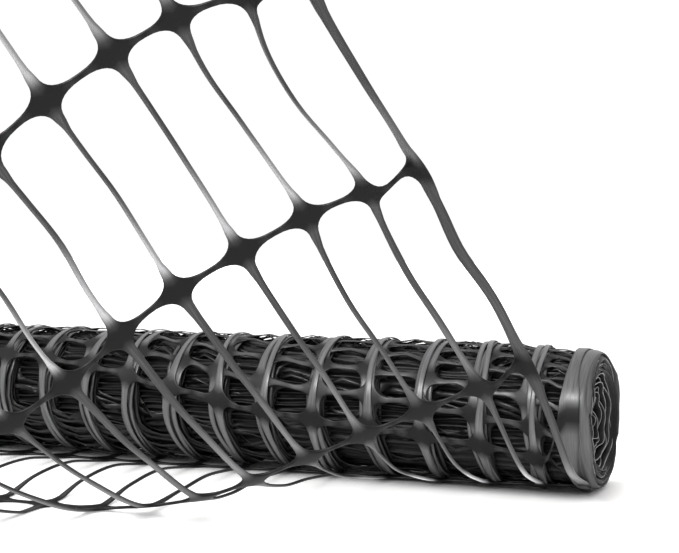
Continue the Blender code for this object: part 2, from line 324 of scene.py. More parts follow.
def swayGrid():
    rows, shifts = zip(*swayTable)
    shifts = np.array(shifts) * millimetre
    shifts = smoothThrough(strandPlaces[list(swayStrands)], shifts.T, swayAcross).T
    return smoothThrough(rows, shifts, swayRows)


gridSway = swayGrid()


def looseAt(across, along):
    row = (along - gridAlong[0]) / looseValues["stepAlong"]
    column = (across - gridAcross[0]) / looseValues["stepAcross"]
    return fromGrid(gridPlaces, row, column), fromGrid(gridNormals, row, column)


def loosePlace(across, along, up):
    # strands turn a little about their own line between bars, and the narrow edge cells' bars buckle
    loose = looseValues
    strand = np.abs(across[:, None] - strandPlaces[None, :]).argmin(axis=1)
    line = strandPlaces[strand]
    beside = across - line
    row = netRow(along)
    share = np.mod(row, 1.0)
    onFloor, offFloor = np.floor(row) == 0, np.floor(row) == 1

    turn = np.where(offFloor, byStrand(loose["lowTwist"], strand), byStrand(loose["twist"], strand))
    turn = np.radians(turn + loose["twistSpread"] * (chance(strand, np.floor(row)) - 0.5))
    turn = turn * np.where((strand == 0) | (strand == lastStrand), loose["selvedgeTwist"], 1.0)
    turn = turn * riseAndFall(loose["twistRise"], loose["twistFall"], share)
    height = looseAt(line, along)[0][:, 2]
    inStrand = np.abs(beside) < loose["strandReach"][1]
    turn = np.where(inStrand, turn, 0.0) * smoothStep(*loose["twistHeight"], height)

    wider = byStrand(loose["lowWider"], strand) * offFloor
    wider = wider - loose["floorNarrower"] * onFloor * smoothStep(*loose["floorStrands"], strand)
    beside = beside * (1 + wider * riseAndFall(loose["widerRise"], loose["widerFall"], share))

    edge = np.clip(np.minimum(across, netWidth - across) / net["edgeGap"], 0.0, 1.0)
    nearBar = 1 - smoothStep(*loose["buckleReach"], np.minimum(share, 1 - share))
    bend = loose["buckle"] * np.sin(circle * edge) * nearBar * (row > loose["buckleFrom"])

    near = 1 - smoothStep(*loose["strandReach"], np.abs(across - line))
    swayRow = (row - swayRows[0]) / (swayRows[1] - swayRows[0])
    sway = fromGrid(gridSway, swayRow, (line * near + across * (1 - near)) / swayAcross[1])
    place, normal = looseAt(line + beside * np.cos(turn) - up * np.sin(turn) + sway, along)
    place = place + normal * (up * np.cos(turn) + beside * np.sin(turn) + bend)[:, None]
    pressed = loose["leastHeight"] + loose["floorPressed"] * (up + net["nodeThickness"] / 2)
    place[:, 2] = np.maximum(place[:, 2], pressed)
    return place


def woundAngle(across, back):
    # how far round the roll the net has gone, in radians, this far back from under the axis
    bars = barValues
    back = back + fromTable(barSkew, across) * smoothStep(*bars["skewRise"], back)
    selvedge = 1 - smoothStep(0.0, bars["edgeSkewReach"], across / net["edgeGap"])
    back = back - bars["edgeSkew"] * selvedge * riseAndFall(bars["skewRise"], bars["edgeSkewEnd"], back)
    radius, perRadian = rollValues["radius"], rollValues["turnDepth"] / circle
    return (radius - np.sqrt(np.maximum(radius**2 - 2 * perRadian * back, 0.0))) / perRadian


def endLean(angle):
    # how far the ends of the roll stand out here
    return rollValues["endLean"] * np.sin(angle) + rollValues["endTilt"] * np.cos(angle)


def hoopShift(strand, angle):
    # how far a hoop stands aside, and at the ends how far the selvedge lies inwards
    hoops = hoopValues
    waves = enumerate(hoops["waves"], 1)
    wander = sum(amount * np.sin(rate * angle + phase(strand, number)) for number, (amount, rate) in waves)
    deeper = smoothStep(*hoops["deeperFrom"], angle)
    even, amount, rate = hoops["deeperInwards"]
    inwards = hoops["edgeInwards"] * (1 - deeper) + deeper * (amount * np.sin(rate * angle) + even)
    edge = np.where(strand == 0, -1.0, 1.0) * (hoops["edgeShift"] * inwards - endLean(angle))
    return np.where((strand == 0) | (strand == lastStrand), edge, hoops["shift"] * wander)


def barDepth(cell, share, bar, angle):
    # how far a bar stands out from the hoops that hold it, or sags between them
    bars = barValues
    turn = angle / circle
    middle = np.sin(math.pi * share)
    apart = smoothStep(*bars["reach"], np.minimum(share, 1 - share))
    luck = chance(bar, cell)
    even, once, twice = bars["sagRound"]
    sag = np.minimum(bars["sagFirst"] + bars["sagPerTurn"] * turn, bars["sagMost"])
    sag = sag * bars["sagSpread"] * (1 - luck) * (even + once * np.cos(angle) + twice * np.cos(angle) ** 2)
    top = smoothStep(*bars["pressedTop"], np.cos(angle)) * (1 - smoothStep(*bars["pressedTurns"], turn))
    pressed = np.maximum(smoothStep(*bars["pressedChance"], luck), top)
    pressed = bars["pressedOut"] * rollValues["turnDepth"] * turn * pressed
    ripple = bars["ripple"] * np.sin(circle * (bars["rippleWaves"] * share + chance(cell, bar)))
    ripple = ripple * np.minimum(turn + bars["rippleFirst"], 1.0)
    loose = bars["loose"] * (1 - smoothStep(*bars["looseTurns"], turn))
    loose = loose * (chance(bar, cell, 9) - bars["looseInwards"])
    return apart * (loose + pressed) - middle * sag + middle * ripple


def woundPlace(across, along, up):
    roll = rollValues
    angle = woundAngle(across, -along)
    turn = angle / circle
    cell = np.clip(np.searchsorted(strandPlaces, across, side="right") - 1, 0, lastStrand - 1)
    share = np.clip((across - strandPlaces[cell]) / (strandPlaces[cell + 1] - strandPlaces[cell]), 0.0, 1.0)
    bar = np.round(netRow(along))
    hold = smoothStep(0.0, roll["holdAngle"], angle)

    shift = hoopShift(cell, angle) * (1 - share) + hoopShift(cell + 1, angle) * share
    x = looseValues["sideX"] - across + hold * (shift + fromTable(hoopDrift, across))
    inEdgeCell = np.maximum(np.abs(across - netWidth / 2) - (netWidth / 2 - net["edgeGap"]), 0.0)
    flare = (roll["edgeCell"] / net["edgeGap"] - 1.0) * inEdgeCell
    x = x + hold * flare * np.where(across < netWidth / 2, 1.0, -1.0)
    inside = np.clip(np.minimum(across, netWidth - across) / hoopValues["sweepFade"], 0.0, 1.0)
    x = x + hold * inside * hoopValues["sweep"] * smoothStep(0.0, 1.0, np.cos(angle))

    depth = roll["radius"] - roll["turnDepth"] * turn - roll["tuck"] * np.exp(-angle / roll["tuckAngle"])
    depth = depth - roll["underOuter"] * smoothStep(*roll["underTurns"], turn)
    depth = depth + hold * barDepth(cell, share, bar, angle)
    for amount, rate, start, alongRoll in roll["unevenness"]:
        depth = depth + amount * np.sin(rate * angle + start + alongRoll * x)
    pastEnds = np.abs(x) - netWidth / 2
    swell = 1.0 + roll["swell"] * (1.0 - smoothStep(-roll["swellFade"], 0.0, pastEnds))
    depth = depth * swell * (1 - roll["rimTaper"] * smoothStep(*roll["rimReach"], pastEnds))

    wavy = np.where((cell == 0) | (cell == lastStrand - 1), 1.0, barValues["innerWave"])
    askew = wavy * np.sin(math.pi * share) * np.sin(circle * (share + chance(bar, cell, 4)))
    angle = angle + barValues["wave"] * askew * hold / roll["radius"]
    thickness = 1.0 - (1.0 - roll["thickness"]) * hold
    z = roll["axisHeight"] * swell - depth * np.cos(angle)
    z = np.maximum(z, looseValues["liftAboveFloor"] + roll["floorPitch"] * roll["turnDepth"] * turn)
    y = (depth - up * thickness) * np.sin(angle)
    return np.stack([x, y, z + up * thickness * np.cos(angle)], axis=1)


def netPlace(across, along, up):
    place = np.empty((len(across), 3))
    pulledOut = along >= 0
    place[pulledOut] = loosePlace(across[pulledOut], along[pulledOut], up[pulledOut])
    place[~pulledOut] = woundPlace(across[~pulledOut], along[~pulledOut], up[~pulledOut])
    return place


def quarterStations(halfCell, selvedge, counts, shape):
    # Round a quarter of an opening, from the middle of a side to the middle of a bar. Columns: edge point,
    # point on the strand's or bar's mid-line, and how much of a node and of a bar it is.
    halfRow = net["barGap"] / 2
    capBase = halfRow - shape["barWidth"] / 2 - shape["capLength"]
    thin, wide = (width / 2 for width in shape["selvedgeWidths" if selvedge else "strandWidths"])
    sideCount, cornerCount, barCount = counts
    rise, fall = net["nodeRise"], net["nodeFall"]
    stations = []
    for step in range(sideCount):
        share = (step / sideCount) ** net["stationPower"]
        edge = halfCell - thin - (wide - thin) * share ** net["flarePower"]
        stations.append((edge, capBase * share, halfCell, capBase * share, 0.0, 0.0))
    for step in range(cornerCount + barCount + 1):
        beforeNode = min(step / cornerCount, 1.0)
        onBar = max(step - cornerCount, 0) / barCount
        angle = math.pi / 4 * (beforeNode + onBar)
        x = (halfCell - wide) * math.cos(angle) ** (2 / shape["capPower"]) if onBar < 1 else 0.0
        y = capBase + shape["capLength"] * math.sin(angle) ** (2 / shape["capPower"])
        lineY = capBase + (halfRow - capBase) * beforeNode
        node = smoothStep(*rise, beforeNode) * (1 - smoothStep(*fall, onBar))
        stations.append((x, y, halfCell * (1 - onBar), lineY, node, onBar))
    return np.array(stations)


def openingStations(halfCell, lowEdge, highEdge, counts, shape):
    # once round an opening, whose low or high side may be a selvedge
    low, high = (quarterStations(halfCell, edge, counts, shape) for edge in (lowEdge, highEdge))
    quarters = ((high, 1, 1), (low[::-1], -1, 1), (low, -1, -1), (high[::-1], 1, -1))
    return np.concatenate([quarter[:-1] * [sx, sy, sx, sy, 1, 1] for quarter, sx, sy in quarters])


def selvedgeStations(side, counts, shape):
    # along the outer half of a selvedge in one row: side is -1 for the lifted one, 1 for the other
    halfCell = net["edgeGap"] / 2
    quarter = quarterStations(halfCell, True, counts, shape)
    quarter = quarter[quarter[:, 5] == 0]
    edge, _, _, y, node, bar = np.concatenate([quarter[::-1] * [1, -1, 1, -1, 1, 1], quarter[1:]]).T
    widest = shape["selvedgeWidths"][1] / 2 + net["selvedgeBulge"] * node
    line = np.full(len(y), 0.0 if side < 0 else netWidth)
    stations = np.stack([line + side * np.minimum(halfCell - edge, widest), y, line, y, node, bar], axis=1)
    return stations if side < 0 else stations[::-1]


def endStations(counts):
    # along the outer half of the last bar, at the cut end
    along = net["firstBar"] + net["looseRows"] * net["barGap"]
    parts = []
    for cell in range(lastStrand):
        halfCell = (strandPlaces[cell + 1] - strandPlaces[cell]) / 2
        quarter = quarterStations(halfCell, False, counts, looseShape)[-counts[2] - 1 :]
        _, _, x, _, node, bar = np.concatenate([quarter * [1, 1, -1, 1, 1, 1], quarter[-2::-1]]).T
        x = strandPlaces[cell] + halfCell + x
        line = np.full(len(x), along)
        edge = line + looseShape["barWidth"] / 2 + net["endBulge"] * node
        parts.append(np.stack([x, edge, x, line, node, bar], axis=1)[min(cell, 1) :])
    return np.concatenate(parts)


# Across the ring round an opening, from its rounded edge to the mid-line: how far in, in edge roundings
# and as the largest share of the way, then the height as a share of half the thickness.
ringLevels = {
    2: ((0, 0, 0.62), (math.inf, 1, 1)),
    4: ((0, 0, 0.42), (0.9, 0.324, 0.86), (2.6, 0.72, 1), (math.inf, 1, 1)),
}


def ringPoints(stations, levels):
    # columns: across, along, up, and the values for shading
    edge, line, node, bar = stations[:, :2], stations[:, 2:4], stations[:, 4], stations[:, 5]
    reach = np.linalg.norm(line - edge, axis=1)
    half = (net["strandThickness"] * (1 - node) + net["nodeThickness"] * node) / 2
    top = []
    for inset, most, height in ringLevels[levels]:
        share = np.minimum(inset * net["edgeRound"] / reach, most)
        inner = np.minimum(share * reach / net["edgeShade"], 1.0)
        point = edge + (line - edge) * share[:, None]
        top.append(np.column_stack([point, half * height, inner, node, bar]))
    top = np.stack(top, axis=1)
    return np.concatenate([top, top * [1, 1, -1, 1, 1, 1]], axis=1).reshape(-1, 6)


def ringFaces(count, levels, closed=True):
    # quads of the top, the underside and the rim between one station and the next
    here = np.arange(count if closed else count - 1)
    here, after = here * 2 * levels, (here + 1) % count * 2 * levels
    quads = []
    for level in range(levels - 1):
        under = levels + level
        quads.append((here + level, here + level + 1, after + level + 1, after + level))
        quads.append((after + under, after + under + 1, here + under + 1, here + under))
    quads.append((here, after, after + levels, here + levels))
    return np.concatenate([np.stack(quad, axis=1) for quad in quads])


def flatNet(rows, counts, levels, shape):
    # all openings of these rows and the outer halves of the selvedges, as points and quads
    rings = []
    for cell in range(lastStrand):
        halfCell = (strandPlaces[cell + 1] - strandPlaces[cell]) / 2
        stations = openingStations(halfCell, cell == 0, cell == lastStrand - 1, counts, shape)
        ring = ringPoints(stations, levels) + [strandPlaces[cell] + halfCell, 0, 0, 0, 0, 0]
        rings.append((ring, ringFaces(len(stations), levels)))
    for side in (-1, 1):
        stations = selvedgeStations(side, counts, shape)
        rings.append((ringPoints(stations, levels), ringFaces(len(stations), levels, closed=False)))
    parts = []
    for ring, quads in rings:
        for row in rows:
            middle = net["firstBar"] + (row + 0.5) * net["barGap"]
            parts.append((ring + [0, middle, 0, 0, 0, 0], quads))
    return parts


def welded(parts):
    # joins the parts' points where they meet, to the micrometre
    starts = np.cumsum([0] + [len(points) for points, quads in parts])
    faces = np.concatenate([quads + start for (points, quads), start in zip(parts, starts)])
    points = np.concatenate([points for points, quads in parts])
    keys = np.round(points[:, :3] * [1e6, 1e6, 1e7]).astype(np.int64)
    _, kept, index = np.unique(keys, axis=0, return_index=True, return_inverse=True)
    return points[kept], index.reshape(-1)[faces]


def meshObject(name, places, faceGroups, values=None):
    # each group is an array of faces with the same number of corners, values are for shading
    mesh = bpy.data.meshes.new(name)
    corners = np.concatenate([group.ravel() for group in faceGroups])
    sizes = np.concatenate([np.full(len(group), group.shape[1]) for group in faceGroups])
    mesh.vertices.add(len(places))
    mesh.vertices.foreach_set("co", np.ascontiguousarray(places, np.float32).ravel())
    mesh.loops.add(len(corners))
    mesh.loops.foreach_set("vertex_index", corners.astype(np.int32))
    mesh.polygons.add(len(sizes))
    mesh.polygons.foreach_set("loop_start", (np.cumsum(sizes) - sizes).astype(np.int32))
    for title, column in (values or {}).items():
        attribute = mesh.attributes.new(title, "FLOAT", "POINT")
        attribute.data.foreach_set("value", np.ascontiguousarray(column, np.float32))
    mesh.update(calc_edges=True)
    mesh.validate()
    mesh.shade_smooth()
    thing = bpy.data.objects.new(name, mesh)
    bpy.context.scene.collection.objects.link(thing)
    return thing


def netObject(name, rows, counts, levels, loose=False):
    # the rows are made flat, joined, cut at the seam under the axis and then put in place
    wide = -rollValues["wideRows"]
    parts = []
    shapes = ((woundShape, -math.inf, wide), (outerShape, wide, -1), (looseShape, -1, math.inf))
    for shape, low, high in shapes:
        parts += flatNet([row for row in rows if low <= row < high], counts, levels, shape)
    if loose:
        stations = endStations(counts)
        parts.append((ringPoints(stations, levels), ringFaces(len(stations), levels, closed=False)))
    points, faces = welded(parts)
    pulledOut = points[faces, 1].mean(axis=1) > 0
    used, index = np.unique(faces[pulledOut == loose], return_inverse=True)
    across, along, up, inner, node, bar = points[used].T
    values = {"across": across, "along": along, "inner": inner, "node": node, "bar": bar}
    return meshObject(name, netPlace(across, along, up), [index.reshape(-1, 4)], values)


# stations on a quarter of an opening: along the strand, round the corner, along the bar
fineCounts = (9, 4, 4)
coarseCounts = (4, 2, 2)
firstRow, outerRow = -rollValues["innerRows"], -rollValues["detailRows"]
midRow = (firstRow + outerRow) // 2
looseNet = netObject("looseNet", range(-1, net["looseRows"]), fineCounts, 4, loose=True)
print("loose net", len(looseNet.data.polygons))
outerTurns = netObject("outerTurns", range(outerRow, 0), fineCounts, 4)
middleTurns = netObject("middleTurns", range(midRow, outerRow), coarseCounts, 2)
innerTurns = netObject("innerTurns", range(firstRow, midRow), coarseCounts, 2)
print("wound net", *[len(turns.data.polygons) for turns in (outerTurns, middleTurns, innerTurns)])

# What lies deeper than the turns that show: a mass of wound net, ribbed by its bars, drawn dark as painted
# shade.
coreValues = {
    "radius": 0.0405,
    "pressed": 0.14,  # it hangs down in the roll
    "topFill": 0.0065,  # at the top the deep turns bear on the outer ones
    "topReach": (-0.35, -0.9),
    "halfLength": 0.486,
    "ridges": 56,  # bars of the deep turns, lying close together
    "ridgeHeight": 0.0042,
    "ridgePower": 0.8,
    "ridgeDrop": 0.65,  # how much lower some lie between two hoops
    "dropReach": (0.0, 0.18),
    "perRidge": 6,
    "perCell": 11,
}
# The ridges wander: radians, waves round the roll, waves from one hoop to the next, and a number that
# sets each one's chance.
ridgeWaves = ((1.4, 5, 0.5, 7), (0.9, 11, 0.5, 8), (0.7, 7, 1, 9))


def makeCore():
    core = coreValues
    around, lengthwise = core["ridges"] * core["perRidge"], lastStrand * core["perCell"] + 1
    x = np.linspace(-core["halfLength"], core["halfLength"], lengthwise)
    x, angle = np.meshgrid(x, np.linspace(0, circle, around, endpoint=False), indexing="ij")
    across = looseValues["sideX"] - x
    cell = np.clip(np.searchsorted(strandPlaces, across) - 1, 0, lastStrand - 1)
    share = np.clip((across - strandPlaces[cell]) / (strandPlaces[cell + 1] - strandPlaces[cell]), 0.0, 1.0)
    wander = 0.0
    for amount, rate, between, number in ridgeWaves:
        free = np.sin(circle * between * share)
        wander = wander + amount * free * np.sin(rate * angle + phase(cell, number))
    ridge = core["ridges"] * angle + wander
    height = np.maximum(np.sin(ridge), 0.0) ** core["ridgePower"]
    apart = smoothStep(*core["dropReach"], np.minimum(share, 1 - share))
    height = height * (1 - core["ridgeDrop"] * apart * chance(cell, np.floor(ridge / circle)))
    radius = core["radius"] + core["topFill"] * smoothStep(*core["topReach"], np.cos(angle))
    radius = radius + core["ridgeHeight"] * height
    down = radius * np.cos(angle) * (1 + core["pressed"] * np.maximum(np.cos(angle), 0))
    z = rollValues["axisHeight"] * (1 + rollValues["swell"] / 2) - down
    places = np.stack([x, radius * np.sin(angle), z], axis=2).reshape(-1, 3)

    row, column = np.meshgrid(np.arange(lengthwise - 1), np.arange(around), indexing="ij")
    here, beside = row * around + column, row * around + (column + 1) % around
    quads = np.stack([here, beside, beside + around, here + around], axis=2).reshape(-1, 4)
    ring = np.arange(around)
    after = (ring + 1) % around
    last = (lengthwise - 1) * around
    middle = np.full(around, len(places))
    startCap = np.stack([middle, after, ring], axis=1)
    endCap = np.stack([middle + 1, last + ring, last + after], axis=1)
    ends = [[end * core["halfLength"], 0, rollValues["axisHeight"]] for end in (-1, 1)]
    places = np.concatenate([places, ends])
    crest = np.append(height.ravel(), [0.0, 0.0])
    return meshObject("woundCore", places, [quads, startCap, endCap], {"crest": crest})


# What shows in each end: the edge of the net as a ribbon, wound inwards and more and more crumpled.
coilValues = {
    "turns": 11,
    "stations": 96,
    "outer": 0.0502,
    "inner": 0.0045,
    "leastRadius": 0.002,
    "tipX": 0.5054,
    "hollow": 0.0130,  # how far the middle of the end lies inside its rim
    "hollowPower": 1.9,
    "thickness": 0.0010,
    "crumpled": (0.25, 1.2),  # at the rim, and how much more towards the middle
    "strays": (0.2, 2.5),
    "squash": 0.10,
    "squashPhase": 0.7,
}
# Waves along the ribbon: amount, waves in a turn, phase, and phase times the side.
crumpleWaves = ((0.0017, 3.06, 0, 2), (0.0012, 5.12, 1.0, 0), (0.0007, 9.2, 0, 0))
strayWaves = ((0.0014, 2.6, 0, 1), (0.0009, 6.1, 0, 0))
# Across the ribbon, once round: metres behind its tip, half thicknesses outwards, and how much painted
# highlight it has.
ribbonSection = (
    (0, 0.55, 1),
    (0, -0.55, 1),
    (0.0007, -1, 0.15),
    (0.0120, -1, 0),
    (0.0120, 1, 0),
    (0.0007, 1, 0.15),
)


def waved(table, angle, side):
    return sum(amount * np.sin(rate * angle + start + bySide * side) for amount, rate, start, bySide in table)


def edgeCoil(name, side):
    coil = coilValues
    count = coil["turns"] * coil["stations"]
    angle = np.linspace(0, circle * coil["turns"], count)
    inwards = angle / angle[-1]
    radius = coil["outer"] + (coil["inner"] - coil["outer"]) * inwards
    first, more = coil["crumpled"]
    radius = radius + waved(crumpleWaves, angle, side) * (first + more * inwards)
    radius = np.maximum(radius, coil["leastRadius"])
    squash = 1.0 + coil["squash"] * np.sin(2 * angle + coil["squashPhase"]) * inwards
    y = radius * squash * np.sin(angle)
    z = rollValues["axisHeight"] - radius / squash * np.cos(angle)
    first, more = coil["strays"]
    x = coil["tipX"] + waved(strayWaves, angle, side) * np.minimum(first + more * inwards, 1.0)
    x = x - coil["hollow"] * inwards ** coil["hollowPower"] + endLean(angle) * (1 - inwards)
    corners = []
    for depth, out, _ in ribbonSection:
        out = out * coil["thickness"] / 2
        corner = (side * (x - depth), y + out * np.sin(angle), z - out * np.cos(angle))
        corners.append(np.stack(corner, axis=1))
    size = len(ribbonSection)
    here = np.arange(count - 1) * size
    quads = []
    for corner in range(size):
        after = (corner + 1) % size
        quad = (here + corner, here + after, here + size + after, here + size + corner)
        quads.append(np.stack(quad, axis=1))
    quads = np.concatenate(quads)[:, ::side]
    tip = np.tile([paintedHighlight for _, _, paintedHighlight in ribbonSection], count)
    return meshObject(name, np.stack(corners, axis=1).reshape(-1, 3), [quads], {"tip": tip})


woundCore = makeCore()
rightCoil = edgeCoil("rightCoil", 1)
leftCoil = edgeCoil("leftCoil", -1)
print("core and ends")


def linearColour(text):
    parts = [int(text[i : i + 2], 16) / 255 for i in (1, 3, 5)]
    return (*[p / 12.92 if p <= 0.04045 else ((p + 0.055) / 1.055) ** 2.4 for p in parts], 1.0)


def setInputs(tree, node, inputs):
    # sockets are linked, and anything else is set as the input's own value
    for key, value in inputs.items():
        if isinstance(value, bpy.types.NodeSocket):
            tree.links.new(value, node.inputs[key])
        else:
            node.inputs[key].default_value = value


def addNode(tree, kind, inputs=None, output=0, **settings):
    node = tree.nodes.new("ShaderNode" + kind)
    for key, value in settings.items():
        setattr(node, key, value)
    setInputs(tree, node, inputs or {})
    return node.outputs[output]


def newMaterial(name):
    material = bpy.data.materials.new(name)
    material.use_nodes = True
    return material, material.node_tree, material.node_tree.nodes["Principled BSDF"]


# Black polyethylene, extruded, punched and stretched: the nodes stay thick, smooth and dark, the drawn
# strands turn paler and satin, with fine lines along them.
polyethylene = {
    "nodeColour": "#0b0b0b",
    "strandColour": "#5a5a5b",
    # painted shade for the deep net and the crumpled ends, and painted highlights on their crests and tips
    "deepShade": "#060607",
    "crestHighlight": "#4c4c4e",
    "tipHighlight": "#d0d0d2",
    "nodeRoughness": 0.48,
    "strandRoughness": 0.34,
    "lineRoughness": 0.25,
    "ior": 1.53,
    "bumpStrength": 0.35,
    "lineDepth": 0.00012,
    "deepRoughness": (0.4, 0.6),
    "deepPatches": (90, 4),  # in a metre, so 11 mm each, and their detail
    "crestPower": 2.5,
    "edgeRoughness": 0.36,
    "edgePatches": (160, 3),
}
# The bars are as dark as the nodes, but deep in the roll their thin edges get a painted highlight: they are
# drawn paler.
looseLook = {"brightness": 1.12, "lineContrast": 2.0, "darkBars": 1.0, "highlightAmount": 6.0, "lowShade": 0.45}
woundLook = {"brightness": 2.4, "lineContrast": 3.0, "darkBars": 0.3, "highlightAmount": 0.0, "lowShade": 0.7}
# Noise on the net. Columns: what it runs across and its size there, what it runs along and its size
# there, its place, detail and roughness. The lines are coarser than the real ones, which would not show.
netPatterns = {
    "strandLines": ("across", 0.0012, "along", 0.03, 0, 3, 0.6),
    "barLines": ("along", 0.0012, "across", 0.03, 0, 3, 0.6),
    # the patches set where the painted highlight on the strands is stronger
    "patches": ("across", 0.06, "row", 1 / 1.7, 1.3, 1, 0.5),
}
# Factors that fade. Columns: what each follows, from where to where, and its value at both. Across, along
# and height are metres, row counts rows of openings from the first bar, share is the way through a row.
straightFades = {
    "offSelvedge": ("across", 0.008, 0.016, 0, 1),
    "outermost": ("along", -0.40, -0.33, 0, 1),
    # painted highlight: deep in the roll the bars are drawn paler
    "deepBars": ("along", -0.9, -0.35, "darkBars", 1),
    "uneven": ("patches", 0.15, 0.6, 0, 1),
    "higher": ("row", 1.95, 2.05, 0.3, 1),
    "deepTurnShade": ("along", -3.0, -0.35, 0.2, 1),  # painted shade: the light of the outside doesn't get further in
    "deepRims": ("along", -5.5, -4.0, 0.3, 1),  # in the hollow of the end they get least light
    # painted shade: the net is drawn darker near the floor
    "nearFloorShade": ("height", 0.002, 0.045, "lowShade", 1),
    # painted shade: the selvedge at across 0 is drawn a little darker
    "selvedge": ("across", 0.008, 0.016, 0.82, 1),
}
smoothFades = {
    "pastNode": ("share", 0.05, 0.13, 0, "highlightAmount"),
    "towardsNext": ("share", 0.62, 0.14, 0, 1),
    "offEdge": ("across", 0, 0.05, 0.3, 1),
    "foot": ("row", 0.50, 0.22, 0, 1.9),
    "nearEdge": ("across", 0.19, 0.13, 0, 1),
    "pastFirstBar": ("row", 0.05, 0.13, 0, "highlightAmount"),
}
# From these to the tone. Columns: the result, an operation, and what it takes in turn.
netSteps = (
    ("notRim", "MAXIMUM", "offSelvedge", "outermost"),  # deeper rims are evenly pale, also at their nodes
    ("darkNode", "MULTIPLY", "node", "notRim"),
    ("darkBar", "MULTIPLY", "bar", "deepBars"),
    ("drawn", "SUBTRACT", 1, "darkNode", "darkBar"),
    ("drawn", "MAXIMUM", "drawn", 0),
    ("lined", "SUBTRACT", "lines", 0.5),
    ("lined", "MULTIPLY", "lined", "drawn"),
    # painted highlight: strands are drawn paler just past each node, towards the next one, in uneven patches
    ("paintedHighlight", "MULTIPLY", "pastNode", "towardsNext", "uneven", "higher", "offEdge"),
    # near the lifted edge the strands also catch light where they turn over onto the floor
    ("turnedOver", "MULTIPLY", "foot", "nearEdge", "offEdge", "pastFirstBar"),
    ("rims", "MAXIMUM", "deepRims", "offSelvedge"),
    ("edges", "MULTIPLY", "inner", 0.45),
    ("edges", "ADD", "edges", 0.55),
    ("tone", "MULTIPLY", "lined", "lineContrast"),
    ("tone", "ADD", "tone", "brightness", "paintedHighlight", "turnedOver"),
    ("tone", "MULTIPLY", "tone", "deepTurnShade", "rims", "edges", "nearFloorShade", "selvedge"),
    ("relief", "MULTIPLY", "lined", 2),
)


def blackPolyethylene(name, look):
    base = polyethylene
    material, tree, shader = newMaterial(name)
    found = dict(look)
    for title in ("across", "along", "inner", "node", "bar"):
        found[title] = addNode(tree, "Attribute", output="Fac", attribute_name=title)
    place = addNode(tree, "TexCoord", output="Object")
    found["height"] = addNode(tree, "SeparateXYZ", {0: place}, "Z")
    row = addNode(tree, "Math", {0: found["along"], 1: net["firstBar"]}, operation="SUBTRACT")
    found["row"] = addNode(tree, "Math", {0: row, 1: net["barGap"]}, operation="DIVIDE")
    found["share"] = addNode(tree, "Math", {0: found["row"]}, operation="FRACT")

    for title, (first, width, second, length, seed, detail, roughness) in netPatterns.items():
        x = addNode(tree, "Math", {0: found[first], 1: 1 / width}, operation="MULTIPLY")
        y = addNode(tree, "Math", {0: found[second], 1: 1 / length}, operation="MULTIPLY")
        vector = addNode(tree, "CombineXYZ", {"X": x, "Y": y, "Z": seed})
        inputs = {"Vector": vector, "Scale": 1.0, "Detail": detail, "Roughness": roughness}
        found[title] = addNode(tree, "TexNoise", inputs)
    lines = {0: found["bar"], 2: found["strandLines"], 3: found["barLines"]}
    found["lines"] = addNode(tree, "Mix", lines, data_type="FLOAT")

    for fades, kind in ((straightFades, "LINEAR"), (smoothFades, "SMOOTHSTEP")):
        for title, (source, start, end, low, high) in fades.items():
            inputs = {"Value": found[source], "From Min": start, "From Max": end}
            inputs.update({"To Min": found.get(low, low), "To Max": found.get(high, high)})
            found[title] = addNode(tree, "MapRange", inputs, interpolation_type=kind)
    for title, operation, first, *others in netSteps:
        result = found.get(first, first)
        for other in others:
            inputs = {0: result, 1: found.get(other, other)}
            result = addNode(tree, "Math", inputs, operation=operation)
        found[title] = result

    colours = {0: found["drawn"], 6: linearColour(base["nodeColour"]), 7: linearColour(base["strandColour"])}
    colour = addNode(tree, "Mix", colours, 2, data_type="RGBA")
    colour = addNode(tree, "VectorMath", {0: colour, "Scale": found["tone"]}, operation="SCALE")
    rough = {0: found["drawn"], 2: base["nodeRoughness"], 3: base["strandRoughness"]}
    rough = addNode(tree, "Mix", rough, data_type="FLOAT")
    rough = {0: found["lined"], 1: base["lineRoughness"], 2: rough}
    rough = addNode(tree, "Math", rough, operation="MULTIPLY_ADD")
    bump = {"Strength": base["bumpStrength"], "Distance": base["lineDepth"], "Height": found["relief"]}
    bump = addNode(tree, "Bump", bump)
    setInputs(tree, shader, {"Base Color": colour, "Roughness": rough, "Normal": bump, "IOR": base["ior"]})
    return material


def deepNet():
    # painted shade: the same net, drawn nearly black where almost no light reaches, with a painted highlight
    # along its ridge crests
    material, tree, shader = newMaterial("wound black polyethylene, deep")
    crest = addNode(tree, "Attribute", output="Fac", attribute_name="crest")
    crest = addNode(tree, "Math", {0: crest, 1: polyethylene["crestPower"]}, operation="POWER")
    deep, paintedHighlight = linearColour(polyethylene["deepShade"]), linearColour(polyethylene["crestHighlight"])
    colour = addNode(tree, "Mix", {0: crest, 6: deep, 7: paintedHighlight}, 2, data_type="RGBA")
    place = addNode(tree, "TexCoord", output="Object")
    scale, detail = polyethylene["deepPatches"]
    patches = addNode(tree, "TexNoise", {"Vector": place, "Scale": scale, "Detail": detail})
    satin, matt = polyethylene["deepRoughness"]
    rough = addNode(tree, "MapRange", {"Value": patches, "To Min": satin, "To Max": matt})
    setInputs(tree, shader, {"Base Color": colour, "Roughness": rough, "IOR": polyethylene["ior"]})
    return material


